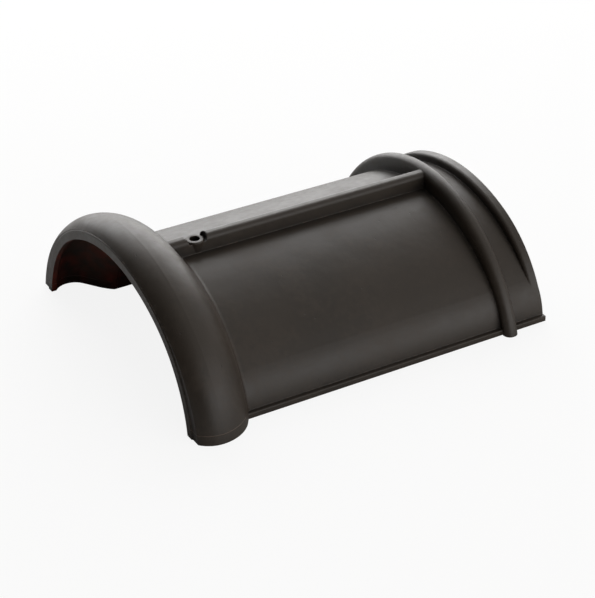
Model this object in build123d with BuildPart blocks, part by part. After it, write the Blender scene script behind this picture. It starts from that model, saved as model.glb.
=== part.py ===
from build123d import *
from math import asin, cos, isclose, radians, sin, sqrt, tan
import os

# Half round ridge tile, one pressed and fired piece of clay.
# X runs along the ridge, with the wide collar at -X and the narrow spigot end at +X.
# Z is up, and Z = 0 is the plane of the lower edges that the tile lies on.
# The origin is midway between the two ends and midway between the lower edges.

# Overall length, and how far the arches' upright legs are drawn down before they are trimmed
length = 390.0
front_x = -length / 2
rear_x = length / 2
leg = 40.0

# Slack allowed when edges are picked by where they lie
margin = 0.01

# Each arch below has a crown height, a half width where its shoulders get upright, the radius
# of its shoulders, and the angle from the crown at which its wide crown arc gives way to them.
# A rise is taken up from the crown of the arch it stands on, and an out from its half width.

# Barrel, outside
barrel_height = 94.0
barrel_half_width = 145.0
barrel_shoulder = 60.0
barrel_angle = 47.0

# Barrel, inside
crown_wall = 12.5
foot_wall = 26.5
inside_shoulder = 96.0
inside_angle = 29.3

# Mouth of the collar, inside, from the barrel's outside
mouth_rise = 17.2
mouth_out = 0.2
mouth_shoulder = 123.0
mouth_angle = 29.9

# Flat rim around the mouth, from the mouth, a little proud of the bulge behind it
rim_rise = 9.2
rim_out = 8.0
rim_shoulder = 131.0
rim_angle = 29.7
rim_proud = 1.2
rim_edge_bevel = 0.8

# Collar, outside: the arch of the bulge's peak, from the rim, and the bulge's section
bulge_rise = 10.1
bulge_out = 20.8
bulge_shoulder = 143.0
bulge_angle = 43.9
bulge_peak_from_front = 22.6
bulge_front_radius = 28.5
bulge_rear_radius = 41.5
flank_angle = 57.0
collar_embed = 4.5
collar_root_fillet = 5.0

# Hollow inside the collar that takes the next tile's spigot, and the step down to the barrel
lip_land = 5.0
hollow_rise = 6.8
hollow_end_from_front = 33.0
hollow_end_slope = 52.0
step_foot_from_front = 64.0
step_foot_slope = 20.0
step_drop = 31.5

# Weather ring, a rounded rib that runs from edge to edge
ring_rise = 18.5
ring_out = 18.0
ring_shoulder = 125.0
ring_angle = 62.0
ring_middle_from_rear = 43.5
ring_width = 15.0
ring_round = 6.8

# End ring, a rib around the spigot's end that runs out on both flanks
end_ring_rise = 8.5
end_ring_out = 4.0
end_ring_shoulder = 125.0
end_ring_angle = 23.7
end_ring_width = 10.0
end_ring_depth = 13.0
end_ring_round = 3.5
end_ring_bevel = 2.0

# Comb along the crown, from the collar to the weather ring
comb_rise = 16.0
comb_width = 13.6
comb_edge_round = 5.5
comb_root = 6.0

# Lip along each lower edge
lip_out = 4.4
lip_height = 5.4
lip_edge_round = 1.0

# Screw hole through a round boss in a shallow pocket of the comb; the boss narrows downwards
screw_from_front = 87.0
screw_radius = 5.0
boss_wall = 4.2
boss_rise = 12.0
boss_taper = 10.5
boss_edge_bevel = 1.0
pocket_gap = 2.0
pocket_floor_rise = 10.0


# Radius of an arch's crown arc
def radius_at_crown(half_width, shoulder_radius, crown_angle):
    return shoulder_radius + (half_width - shoulder_radius) / sin(radians(crown_angle))


# A three-centred arch: a wide crown arc, two shoulder arcs that bring it upright, and two legs
def draw_arch(height, half_width, shoulder_radius, crown_angle):
    angle = radians(crown_angle)
    crown_radius = radius_at_crown(half_width, shoulder_radius, crown_angle)
    centre_y = half_width - shoulder_radius
    centre_z = height - crown_radius + (crown_radius - shoulder_radius) * cos(angle)
    joint_y = crown_radius * sin(angle)
    joint_z = height - crown_radius * (1 - cos(angle))
    half = (angle + radians(90)) / 2
    middle_y = centre_y + shoulder_radius * sin(half)
    middle_z = centre_z + shoulder_radius * cos(half)
    Line((-half_width, centre_z - leg), (-half_width, centre_z))
    ThreePointArc((-half_width, centre_z), (-middle_y, middle_z), (-joint_y, joint_z))
    ThreePointArc((-joint_y, joint_z), (0, height), (joint_y, joint_z))
    ThreePointArc((joint_y, joint_z), (middle_y, middle_z), (half_width, centre_z))
    Line((half_width, centre_z), (half_width, centre_z - leg))


# The same arch closed across its legs, as a face
def fill_arch(height, half_width, shoulder_radius, crown_angle):
    with BuildLine() as outline:
        draw_arch(height, half_width, shoulder_radius, crown_angle)
        Line(outline.wires()[0] @ 1, outline.wires()[0] @ 0)
    make_face(outline.edges())


# Plane of the tile's cross sections: its first axis is the tile's Y and its second is Z
def section_at(x):
    return Plane(origin=(x, 0, 0), x_dir=(0, 1, 0), z_dir=(1, 0, 0))


# The tile's round edges of one radius between two cross sections
def arcs_of_radius(radius, from_x, to_x):
    arcs = ridge_tile.edges().filter_by(GeomType.CIRCLE)
    arcs = arcs.filter_by_position(Axis.X, from_x - margin, to_x + margin)
    return arcs.filter_by(lambda edge: isclose(edge.radius, radius, abs_tol=margin))


# Plane for a rib's section at the start of an arch: along X, and outwards from the arch
def foot_of(arch):
    return Plane(origin=arch.wires()[0] @ 0, x_dir=(1, 0, 0), z_dir=(0, 0, -1))


# Crown heights and half widths of the arches that stand on the barrel
mouth_height = barrel_height + mouth_rise
mouth_half_width = barrel_half_width + mouth_out
rim_height = mouth_height + rim_rise
rim_half_width = mouth_half_width + rim_out
bulge_height = rim_height + bulge_rise
bulge_half_width = rim_half_width + bulge_out
ring_height = barrel_height + ring_rise
ring_half_width = barrel_half_width + ring_out
end_ring_height = barrel_height + end_ring_rise
end_ring_half_width = barrel_half_width + end_ring_out
comb_height = barrel_height + comb_rise
boss_height = barrel_height + boss_rise
pocket_floor = barrel_height + pocket_floor_rise

# The collar's section reaches into the barrel all the way round
crown_reach = bulge_height - barrel_height
flank_reach = bulge_half_width - barrel_half_width
collar_depth = max(crown_reach, flank_reach) + collar_embed

# The bulge's section is a front arc and a rear arc that meet at its peak, then a straight flank
bulge_x = front_x + rim_proud
peak_x = front_x + bulge_peak_from_front
front_reach = peak_x - bulge_x
front_drop = bulge_front_radius - sqrt(bulge_front_radius**2 - front_reach**2)
front_middle = asin(front_reach / bulge_front_radius) / 2
flank = radians(flank_angle)
flank_x = peak_x + bulge_rear_radius * sin(flank)
flank_drop = bulge_rear_radius * (1 - cos(flank))
flank_end_x = flank_x + (collar_depth - flank_drop) / tan(flank)

# The hollow's section, from the lip of the mouth to the foot of the step
lip_x = front_x + lip_land
hollow_end_x = front_x + hollow_end_from_front
step_foot_x = front_x + step_foot_from_front
hollow_bottom = -step_drop - lip_land
step_start = (1, -tan(radians(hollow_end_slope)))
step_end = (1, -tan(radians(step_foot_slope)))

inside_height = barrel_height - crown_wall
inside_half_width = barrel_half_width - foot_wall
outer_half_width = barrel_half_width + lip_out
rim_radius = radius_at_crown(rim_half_width, rim_shoulder, rim_angle)
ring_radius = radius_at_crown(ring_half_width, ring_shoulder, ring_angle)
comb_depth = comb_rise + comb_root
ring_front = rear_x - ring_middle_from_rear - ring_width / 2
ring_rear = ring_front + ring_width
screw_x = front_x + screw_from_front
boss_radius = screw_radius + boss_wall

with BuildPart() as ridge_tile:
    # Barrel, filled for now
    with BuildSketch(section_at(peak_x)):
        fill_arch(barrel_height, barrel_half_width, barrel_shoulder, barrel_angle)
    extrude(amount=length - bulge_peak_from_front)

    # Collar: the bulge's section swept along its arch
    with BuildLine(section_at(0)) as bulge_path:
        draw_arch(bulge_height, bulge_half_width, bulge_shoulder, bulge_angle)
    with BuildSketch(foot_of(bulge_path)):
        with BuildLine():
            front_arc_x = peak_x - bulge_front_radius * sin(front_middle)
            front_arc_drop = bulge_front_radius * (1 - cos(front_middle))
            rear_arc_x = peak_x + bulge_rear_radius * sin(flank / 2)
            rear_arc_drop = bulge_rear_radius * (1 - cos(flank / 2))
            Line((bulge_x, -collar_depth), (bulge_x, -front_drop))
            ThreePointArc((bulge_x, -front_drop), (front_arc_x, -front_arc_drop), (peak_x, 0))
            ThreePointArc((peak_x, 0), (rear_arc_x, -rear_arc_drop), (flank_x, -flank_drop))
            Line((flank_x, -flank_drop), (flank_end_x, -collar_depth))
            Line((flank_end_x, -collar_depth), (bulge_x, -collar_depth))
        make_face()
    sweep(path=bulge_path.wires()[0])
    root = ridge_tile.edges().filter_by_position(Axis.X, flank_x + 1, flank_end_x + 1)
    fillet(root.filter_by(GeomType.LINE, reverse=True), collar_root_fillet)

    # Rim of the mouth
    with BuildSketch(section_at(front_x)):
        fill_arch(rim_height, rim_half_width, rim_shoulder, rim_angle)
    extrude(amount=bulge_peak_from_front)
    chamfer(arcs_of_radius(rim_radius, front_x, front_x), rim_edge_bevel)

    # Weather ring: a plate with the ring's arch, rounded over
    with BuildSketch(section_at(ring_front)):
        fill_arch(ring_height, ring_half_width, ring_shoulder, ring_angle)
    extrude(amount=ring_width)
    fillet(arcs_of_radius(ring_radius, ring_front, ring_rear), ring_round)

    # End ring
    with BuildLine(section_at(0)) as end_ring_path:
        draw_arch(end_ring_height, end_ring_half_width, end_ring_shoulder, end_ring_angle)
    with BuildSketch(foot_of(end_ring_path)) as end_ring_section:
        with Locations((rear_x - end_ring_width / 2, -end_ring_depth / 2)):
            Rectangle(end_ring_width, end_ring_depth)
        crest = end_ring_section.vertices().group_by(Axis.Y)[-1].sort_by(Axis.X)
        fillet(crest[0], end_ring_round)
        chamfer(crest[-1], end_ring_bevel)
    sweep(path=end_ring_path.wires()[0])

    # Comb
    with BuildSketch(section_at(peak_x)) as comb_section:
        with Locations((0, comb_height - comb_depth / 2)):
            Rectangle(comb_width, comb_depth)
        fillet(comb_section.vertices().group_by(Axis.Y)[-1], comb_edge_round)
    extrude(amount=rear_x - ring_middle_from_rear - peak_x)

    # Lips along the lower edges, from the collar to the spigot's end
    with BuildSketch(section_at(peak_x)) as lip_section:
        Rectangle(2 * outer_half_width, 2 * lip_height)
        fillet(lip_section.vertices(), lip_edge_round)
    extrude(amount=rear_x - peak_x)

    # Inside of the barrel
    with BuildSketch(section_at(front_x)):
        fill_arch(inside_height, inside_half_width, inside_shoulder, inside_angle)
    extrude(amount=length, mode=Mode.SUBTRACT)

    # Hollow of the collar
    with BuildLine(section_at(0)) as mouth_path:
        draw_arch(mouth_height, mouth_half_width, mouth_shoulder, mouth_angle)
    with BuildSketch(foot_of(mouth_path)):
        with BuildLine():
            Line((front_x, hollow_bottom), (front_x, 0))
            Line((front_x, 0), (lip_x, 0))
            ThreePointArc((lip_x, 0), ((lip_x + hollow_end_x) / 2, hollow_rise), (hollow_end_x, 0))
            Spline((hollow_end_x, 0), (step_foot_x, -step_drop), tangents=(step_start, step_end))
            Line((step_foot_x, -step_drop), (step_foot_x, hollow_bottom))
            Line((step_foot_x, hollow_bottom), (front_x, hollow_bottom))
        make_face()
    sweep(path=mouth_path.wires()[0], mode=Mode.SUBTRACT)

    # Pocket in the comb, the boss that stands in it, and the screw hole
    with BuildSketch(Plane.XY.offset(pocket_floor)):
        with Locations((screw_x, 0)):
            Circle(boss_radius + pocket_gap)
    extrude(amount=comb_height - pocket_floor, mode=Mode.SUBTRACT)
    with BuildSketch(Plane(origin=(0, 0, boss_height), x_dir=(1, 0, 0), z_dir=(0, 0, -1))):
        with Locations((screw_x, 0)):
            Circle(boss_radius)
    extrude(amount=boss_rise + crown_wall / 2, taper=boss_taper)
    boss_rim = ridge_tile.edges().filter_by_position(Axis.Z, boss_height - margin, boss_height + margin)
    chamfer(boss_rim.filter_by(GeomType.CIRCLE), boss_edge_bevel)
    with BuildSketch(Plane.XY):
        with Locations((screw_x, 0)):
            Circle(screw_radius)
    extrude(amount=comb_height, mode=Mode.SUBTRACT)

    # The feet are trimmed to the floor
    split(bisect_by=Plane.XY, keep=Keep.TOP)

ridge_tile.part.label = "ridge_tile"
os.makedirs("parts", exist_ok=True)
export_step(ridge_tile.part, "parts/ridge_tile.step")
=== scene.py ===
# %% [markdown]
# # A half round ridge tile in dark engobed clay
# The real object is one pressed piece of clay: a half round barrel, a wide collar at one end
# that laps over the next tile, and two ribs and a plain spigot at the other. Its solid comes from
# the CAD model, so this lesson doesn't model it again. It gives the clay its skin and sets up the
# photograph's camera, a pale floor and soft light.

import math

import bmesh
import bpy
from mathutils import Matrix, Vector

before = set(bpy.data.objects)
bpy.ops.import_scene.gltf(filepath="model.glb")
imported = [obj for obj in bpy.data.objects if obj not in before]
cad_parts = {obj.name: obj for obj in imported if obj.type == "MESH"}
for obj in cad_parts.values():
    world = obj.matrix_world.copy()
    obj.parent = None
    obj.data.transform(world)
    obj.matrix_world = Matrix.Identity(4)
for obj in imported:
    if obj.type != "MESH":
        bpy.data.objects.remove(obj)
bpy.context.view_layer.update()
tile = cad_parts["ridge_tile"]

# %% [markdown]
# ## Two small helpers for shaders
# A shader is a graph of nodes. Writing each link by hand hides the idea, so `node` adds one node
# and sets or links its inputs by name, and `calc` does a sum with a Math node.


# %% Helpers that add nodes
def node(tree, kind, inputs=None, **settings):
    made = tree.nodes.new(kind)
    for name, value in settings.items():
        setattr(made, name, value)
    for name, value in (inputs or {}).items():
        if isinstance(value, bpy.types.NodeSocket):
            tree.links.new(value, made.inputs[name])
        else:
            made.inputs[name].default_value = value
    return made


def calc(tree, operation, first, second=0.0, third=0.0, clamp=False):
    made = node(tree, "ShaderNodeMath", {0: first, 1: second, 2: third}, operation=operation)
    made.use_clamp = clamp
    return made.outputs[0]


def steps(tree, value, from_low, from_high, to_low=0.0, to_high=1.0):
    made = node(
        tree,
        "ShaderNodeMapRange",
        {
            "Value": value,
            "From Min": from_low,
            "From Max": from_high,
            "To Min": to_low,
            "To Max": to_high,
        },
        interpolation_type="SMOOTHSTEP",
    )
    return made.outputs["Result"]


def mix_colour(tree, share, first, second):
    made = node(tree, "ShaderNodeMix", data_type="RGBA", clamp_factor=True)
    for socket, value in zip((made.inputs[0], made.inputs[6], made.inputs[7]), (share, first, second)):
        if isinstance(value, bpy.types.NodeSocket):
            tree.links.new(value, socket)
        else:
            socket.default_value = value
    return made.outputs[2]


def new_group(name, inputs, outputs):
    tree = bpy.data.node_groups.new(name, "ShaderNodeTree")
    for label, kind, value in inputs:
        socket = tree.interface.new_socket(label, in_out="INPUT", socket_type=kind)
        if value is not None:
            socket.default_value = value
    for label, kind in outputs:
        tree.interface.new_socket(label, in_out="OUTPUT", socket_type=kind)
    return tree, tree.nodes.new("NodeGroupInput").outputs, tree.nodes.new("NodeGroupOutput").inputs


def place_group(tree, group, inputs):
    return node(tree, "ShaderNodeGroup", inputs, node_tree=group).outputs


print("helpers ready")

# %% [markdown]
# ## Grain of pressed clay
# Pressed and fired clay is never flat. It has a slow wave of a few centimetres from the press, a
# fine sandy grain under a millimetre, and a few pinholes where gas left it. Sculpting that would
# take millions of faces, so one node group works out a height in metres and a Bump node in the
# material turns the height into shading. Heights here are real ones, which keeps them believable.

# %% Node group: clay grain
grain, grain_in, grain_out = new_group(
    "clay_grain",
    [
        ("Vector", "NodeSocketVector", None),
        ("Wave height", "NodeSocketFloat", 0.0006),
        ("Grain height", "NodeSocketFloat", 0.00004),
        ("Pinhole depth", "NodeSocketFloat", 0.00025),
    ],
    [("Height", "NodeSocketFloat"), ("Mottle", "NodeSocketFloat"), ("Pinholes", "NodeSocketFloat")],
)
wave = node(grain, "ShaderNodeTexNoise", {"Vector": grain_in["Vector"], "Scale": 28.0, "Detail": 2.0})
sand = node(grain, "ShaderNodeTexNoise", {"Vector": grain_in["Vector"], "Scale": 1300.0, "Detail": 3.0})
press = node(grain, "ShaderNodeTexNoise", {"Vector": grain_in["Vector"], "Scale": 170.0, "Detail": 3.0})
cells = node(
    grain,
    "ShaderNodeTexVoronoi",
    {"Vector": grain_in["Vector"], "Scale": 120.0, "Randomness": 1.0},
    feature="F1",
)
holes = steps(grain, cells.outputs["Distance"], 0.055, 0.09, 1.0, 0.0)
cell_draw = node(grain, "ShaderNodeSeparateColor", {"Color": cells.outputs["Color"]}).outputs[0]
chosen = steps(grain, cell_draw, 0.8, 0.82)
holes = calc(grain, "MULTIPLY", holes, chosen)
height = calc(grain, "MULTIPLY", wave.outputs["Fac"], grain_in["Wave height"])
height = calc(grain, "MULTIPLY_ADD", sand.outputs["Fac"], grain_in["Grain height"], height)
press_height = calc(grain, "MULTIPLY", grain_in["Grain height"], 2.0)
height = calc(grain, "MULTIPLY_ADD", press.outputs["Fac"], press_height, height)
hole_depth = calc(grain, "MULTIPLY", holes, grain_in["Pinhole depth"])
height = calc(grain, "SUBTRACT", height, hole_depth)
mottle = calc(grain, "MULTIPLY", wave.outputs["Fac"], 0.5)
mottle = calc(grain, "MULTIPLY_ADD", press.outputs["Fac"], 0.5, mottle)
grain.links.new(height, grain_out["Height"])
grain.links.new(mottle, grain_out["Mottle"])
grain.links.new(holes, grain_out["Pinholes"])
print("group", grain.name, "with", len(grain.nodes), "nodes")

# %% [markdown]
# ## Worn edges
# Where tiles knock together, the coloured skin wears off the sharp edges. Cycles' Bevel node
# rounds the normal near an edge, so the turn between that rounded normal and the true one marks
# how close the edge is. A noise breaks the mark up, as wear is never even.

# %% Node group: worn edges
worn, worn_in, worn_out = new_group(
    "worn_edges",
    [("Vector", "NodeSocketVector", None), ("Radius", "NodeSocketFloat", 0.0014)],
    [("Wear", "NodeSocketFloat"), ("Rounded normal", "NodeSocketVector")],
)
rounded = node(worn, "ShaderNodeBevel", {"Radius": worn_in["Radius"]}, samples=6)
shown_normal = node(worn, "ShaderNodeNewGeometry").outputs["Normal"]
agree = node(worn, "ShaderNodeVectorMath", {0: rounded.outputs[0], 1: shown_normal}, operation="DOT_PRODUCT")
near_edge = steps(worn, agree.outputs["Value"], 0.8, 0.985, 1.0, 0.0)
patches = node(worn, "ShaderNodeTexNoise", {"Vector": worn_in["Vector"], "Scale": 220.0, "Detail": 4.0})
broken = steps(worn, patches.outputs["Fac"], 0.42, 0.68)
worn.links.new(calc(worn, "MULTIPLY", near_edge, broken), worn_out["Wear"])
worn.links.new(rounded.outputs[0], worn_out["Rounded normal"])
print("group", worn.name, "with", len(worn.nodes), "nodes")

# %% [markdown]
# ## Where the engobe ends
# Engobe is a thin coloured clay slip that is sprayed on the upper face before firing. It is dark
# and satin, and the underside that the spray can't reach stays bare red clay. Which side of the
# wall a point is on can be told from its normal: outside it points away from a line low under the
# tile, inside it points towards it. The border is broken up with noise. The flat front face of the
# collar is a darker brown in the photograph, so it gets a mask of its own.

# %% Node group: bare side
bare, bare_in, bare_out = new_group(
    "bare_side",
    [("Vector", "NodeSocketVector", None)],
    [("Bare", "NodeSocketFloat"), ("Front face", "NodeSocketFloat")],
)
split = node(bare, "ShaderNodeSeparateXYZ", {"Vector": bare_in["Vector"]}).outputs
normal = node(bare, "ShaderNodeNewGeometry").outputs["Normal"]
centre_depth = 0.03
above_centre = calc(bare, "ADD", split["Z"], centre_depth)
spread = node(bare, "ShaderNodeCombineXYZ", {"X": 0.0, "Y": split["Y"], "Z": above_centre})
outwards = node(bare, "ShaderNodeVectorMath", {0: spread.outputs[0]}, operation="NORMALIZE")
facing = node(bare, "ShaderNodeVectorMath", {0: outwards.outputs[0], 1: normal}, operation="DOT_PRODUCT")
speckle = node(bare, "ShaderNodeTexNoise", {"Vector": bare_in["Vector"], "Scale": 260.0, "Detail": 5.0})
ragged = calc(bare, "SUBTRACT", facing.outputs["Value"], 0.25)
ragged = calc(bare, "MULTIPLY_ADD", speckle.outputs["Fac"], 0.5, ragged)
underside = steps(bare, ragged, -0.42, -0.16, 1.0, 0.0)
facing_front = node(bare, "ShaderNodeSeparateXYZ", {"Vector": normal}).outputs["X"]
at_mouth = steps(bare, split["X"], -0.19, -0.185, 1.0, 0.0)
front_face = calc(bare, "MULTIPLY", steps(bare, facing_front, -0.97, -0.9, 1.0, 0.0), at_mouth)
bare.links.new(underside, bare_out["Bare"])
bare.links.new(front_face, bare_out["Front face"])
print("group", bare.name, "with", len(bare.nodes), "nodes")

# %% [markdown]
# ## Mould line
# The two halves of a press mould leave a hair-thin ridge where they meet. The photograph has two
# light hairlines that look like it: one round the collar a few millimetres above the lower edges,
# and one along the collar's rear root. A narrow bump in height at one level of Z draws the first,
# and a noise on the level keeps it from looking ruled. The second is the same group with X put in
# the place of Z.

# %% Node group: mould line
seam, seam_in, seam_out = new_group(
    "mould_line",
    [
        ("Vector", "NodeSocketVector", None),
        ("Level", "NodeSocketFloat", 0.0085),
        ("Width", "NodeSocketFloat", 0.0006),
        ("Behind X", "NodeSocketFloat", -0.142),
    ],
    [("Line", "NodeSocketFloat")],
)
place = node(seam, "ShaderNodeSeparateXYZ", {"Vector": seam_in["Vector"]})
drift = node(seam, "ShaderNodeTexNoise", {"Vector": seam_in["Vector"], "Scale": 40.0, "Detail": 1.0})
level = calc(seam, "MULTIPLY_ADD", drift.outputs["Fac"], 0.0012, seam_in["Level"])
off_line = calc(seam, "ABSOLUTE", calc(seam, "SUBTRACT", place.outputs["Z"], level))
line = calc(seam, "SUBTRACT", 1.0, steps(seam, off_line, 0.0, seam_in["Width"]))
on_collar = calc(seam, "LESS_THAN", place.outputs["X"], seam_in["Behind X"])
seam.links.new(calc(seam, "MULTIPLY", line, on_collar), seam_out["Line"])
print("group", seam.name, "with", len(seam.nodes), "nodes")

# %% [markdown]
# ## The tile's material
# One piece of clay gets one material. The groups above say where it is bare, worn or pitted, and
# the colours, roughness and height are mixed by those masks. The photograph's creases are nearly
# black, so an Ambient Occlusion node with a short reach finds them and darkens their colour there
# as painted shade. The Principled shader stays in the material itself, where its gloss can be
# read by other programs.

# %% Material: engobed clay
clay = bpy.data.materials.new("engobed_clay")
clay.use_nodes = True
tree = clay.node_tree
shader = tree.nodes["Principled BSDF"]
at = node(tree, "ShaderNodeTexCoord").outputs["Object"]
relief = place_group(tree, grain, {"Vector": at})
edges = place_group(tree, worn, {"Vector": at})
unsprayed = place_group(tree, bare, {"Vector": at})
inside, front = unsprayed["Bare"], unsprayed["Front face"]
foot_line = place_group(tree, seam, {"Vector": at})["Line"]
where = node(tree, "ShaderNodeSeparateXYZ", {"Vector": at}).outputs
turned = node(tree, "ShaderNodeCombineXYZ", {"X": -1.0, "Y": where["Y"], "Z": where["X"]}).outputs[0]
root_line = place_group(tree, seam, {"Vector": turned, "Level": -0.1375, "Width": 0.0005})["Line"]
mould_line = calc(tree, "MAXIMUM", foot_line, calc(tree, "MULTIPLY", root_line, 0.6))

dark_engobe, light_engobe = (0.0185, 0.0135, 0.0095, 1), (0.0235, 0.017, 0.0118, 1)
# The second colour on the next line is near black painted shade for creases and recesses.
engobe_fleck, painted_crease_shade = (0.0275, 0.0198, 0.014, 1), (0.005, 0.004, 0.003, 1)
brown_clay, red_clay = (0.022, 0.013, 0.0095, 1), (0.13, 0.014, 0.005, 1)
clay_fleck = (0.045, 0.02, 0.0125, 1)
dark_rim, light_rim = (0.016, 0.0105, 0.008, 1), (0.028, 0.017, 0.0125, 1)
worn_clay, hole_brown = (0.13, 0.095, 0.075, 1), (0.02, 0.015, 0.012, 1)

clouds = node(tree, "ShaderNodeTexNoise", {"Vector": at, "Scale": 9.0, "Detail": 4.0, "Roughness": 0.6})
cloud = steps(tree, clouds.outputs["Fac"], 0.35, 0.65)
fleck = steps(tree, relief["Mottle"], 0.42, 0.66)
engobe = mix_colour(tree, cloud, dark_engobe, light_engobe)
engobe = mix_colour(tree, fleck, engobe, engobe_fleck)
# Painted shade: an Ambient Occlusion mask with a short reach darkens the engobe's colour towards near black
# in creases and recesses.
crease_reach = 0.016
shelter = node(
    tree, "ShaderNodeAmbientOcclusion", {"Distance": crease_reach}, samples=8, only_local=True
).outputs["AO"]
crease_shade_share = steps(tree, shelter, 0.35, 0.85, 0.85, 0.0)
engobe = mix_colour(tree, crease_shade_share, engobe, painted_crease_shade)
red_patch = steps(tree, clouds.outputs["Fac"], 0.44, 0.6)
body_clay = mix_colour(tree, red_patch, brown_clay, red_clay)
body_clay = mix_colour(tree, calc(tree, "MULTIPLY", fleck, 0.5), body_clay, clay_fleck)
rim = mix_colour(tree, fleck, dark_rim, light_rim)
edge_wear = calc(tree, "MULTIPLY", edges["Wear"], 0.8)
rubbed = calc(tree, "MAXIMUM", edge_wear, calc(tree, "MULTIPLY", mould_line, 0.6))

colour = mix_colour(tree, inside, engobe, body_clay)
colour = mix_colour(tree, front, colour, rim)
colour = mix_colour(tree, rubbed, colour, worn_clay)
colour = mix_colour(tree, relief["Pinholes"], colour, hole_brown)
tree.links.new(colour, shader.inputs["Base Color"])

satin = steps(tree, relief["Mottle"], 0.35, 0.7, 0.43, 0.53)
satin = calc(tree, "MULTIPLY_ADD", edges["Wear"], 0.2, satin)
satin = calc(tree, "MULTIPLY_ADD", inside, 0.35, satin, clamp=True)
tree.links.new(satin, shader.inputs["Roughness"])
line_height = 0.0003
surface_height = calc(tree, "MULTIPLY_ADD", mould_line, line_height, relief["Height"])
bump = node(
    tree,
    "ShaderNodeBump",
    {"Height": surface_height, "Normal": edges["Rounded normal"], "Strength": 1.0, "Distance": 1.0},
)
tree.links.new(bump.outputs["Normal"], shader.inputs["Normal"])
shader.inputs["Specular IOR Level"].default_value = 0.34
tile.data.materials.clear()
tile.data.materials.append(clay)
print("material", clay.name, "on", tile.name)

# %% [markdown]
# ## Floor
# The photograph has a plain white ground. A pale floor keeps the tile's soft shadow, which shows
# that the tile rests on its two lower edges. What the camera sees of the floor is mixed with pure
# white, and the light that it throws on the tile stays as it is.

# %% Floor
floor_mesh = bpy.data.meshes.new("floor")
ground = bmesh.new()
bmesh.ops.create_grid(ground, x_segments=1, y_segments=1, size=40.0)
ground.to_mesh(floor_mesh)
ground.free()
floor = bpy.data.objects.new("floor", floor_mesh)
bpy.context.scene.collection.objects.link(floor)
floor_paint = bpy.data.materials.new("floor_paint")
floor_paint.use_nodes = True
paint = floor_paint.node_tree
paint_shader = paint.nodes["Principled BSDF"]
paint_shader.inputs["Base Color"].default_value = (0.68, 0.68, 0.675, 1)
paint_shader.inputs["Roughness"].default_value = 0.9
rays = node(paint, "ShaderNodeLightPath").outputs
white = node(paint, "ShaderNodeEmission", {"Color": (1, 1, 1, 1), "Strength": 1.0}).outputs[0]
white_share = calc(paint, "MULTIPLY", rays["Is Camera Ray"], 0.88)
whitened = node(paint, "ShaderNodeMixShader", {0: white_share, 1: paint_shader.outputs[0], 2: white})
paint.links.new(whitened.outputs[0], paint.nodes["Material Output"].inputs["Surface"])
floor.data.materials.append(floor_paint)
print("floor", tuple(round(size, 2) for size in floor.dimensions))

# %% [markdown]
# ## Light
# Dark satin clay shows mostly what it mirrors. In the photograph the far side of the barrel and
# the collar's crown are pale because they mirror something bright behind the tile, while the
# faces that look left, such as the ribs' front walls, are nearly black. So the room gets a soft
# world that fades towards the left and is a little brighter overhead, one wide standing panel
# behind the tile, and a weaker one in front that lifts the lower near side. The camera itself sees
# a plain white backdrop and not the panels.

# %% World and lamps
world = bpy.data.worlds.new("soft_room")
bpy.context.scene.world = world
world.use_nodes = True
sky = world.node_tree
direction = node(sky, "ShaderNodeTexCoord").outputs["Generated"]
towards = node(sky, "ShaderNodeSeparateXYZ", {"Vector": direction}).outputs
from_right = steps(sky, towards["X"], -0.6, 0.6, 0.04, 0.66)
from_above = steps(sky, towards["Z"], 0.45, 0.95, 0.0, 0.2)
room = sky.nodes["Background"]
room.inputs["Color"].default_value = (1, 0.98, 0.95, 1)
sky.links.new(calc(sky, "ADD", from_right, from_above), room.inputs["Strength"])
backdrop = node(sky, "ShaderNodeBackground", {"Color": (1, 1, 1, 1), "Strength": 1.0})
sky_seen = node(sky, "ShaderNodeLightPath").outputs["Is Camera Ray"]
shown = node(sky, "ShaderNodeMixShader", {0: sky_seen, 1: room.outputs[0], 2: backdrop.outputs[0]})
sky.links.new(shown.outputs[0], sky.nodes["World Output"].inputs["Surface"])


def add_panel(name, place, aim, size, brightness):
    data = bpy.data.lights.new(name, "AREA")
    data.shape = "RECTANGLE"
    data.size, data.size_y = size
    data.energy = brightness * math.pi * size[0] * size[1]
    lamp = bpy.data.objects.new(name, data)
    lamp.location = place
    lamp.visible_camera = False
    lamp.rotation_euler = (Vector(aim) - Vector(place)).to_track_quat("-Z", "Y").to_euler()
    bpy.context.scene.collection.objects.link(lamp)
    print(name, "radiates", round(data.energy, 1), "W")


add_panel("back_panel", (0.9, 2.1, 1.15), (0, 0, 0.1), (3.4, 2.2), 4.6)
add_panel("front_panel", (0.9, -2.2, 0.7), (0, 0, 0.1), (3.0, 1.3), 2.3)

# %% [markdown]
# ## Camera
# The place and lens were worked out from the photograph, from the way the barrel's straight lines
# converge and the collar's arch foreshortens. The camera stands 2 m away, 31 degrees above the
# floor and 30 degrees round from the side towards the collar.

# %% Camera at the photograph's view
distance, azimuth, elevation = 1.992955, math.radians(-30.534), math.radians(31.289)
shift_right, shift_up = 0.003058, 0.005682
focal_pixels, picture_height = 2025.865, 598
level_reach = math.cos(elevation)
back = Vector((math.sin(azimuth) * level_reach, -math.cos(azimuth) * level_reach, math.sin(elevation)))
right = Vector((math.cos(azimuth), math.sin(azimuth), 0))
up = back.cross(right)
camera_data = bpy.data.cameras.new("photo_camera")
camera_data.sensor_width = 36.0
camera_data.lens = focal_pixels / picture_height * camera_data.sensor_width
camera = bpy.data.objects.new("photo_camera", camera_data)
camera_place = back * distance + right * shift_right + up * shift_up
camera.matrix_world = Matrix.Translation(camera_place) @ Matrix((right, up, back)).transposed().to_4x4()
bpy.context.scene.collection.objects.link(camera)
bpy.context.scene.camera = camera
bpy.context.scene.view_settings.view_transform = "Standard"
print("lens", round(camera_data.lens, 2), "mm, camera at", tuple(round(c, 3) for c in camera_place))
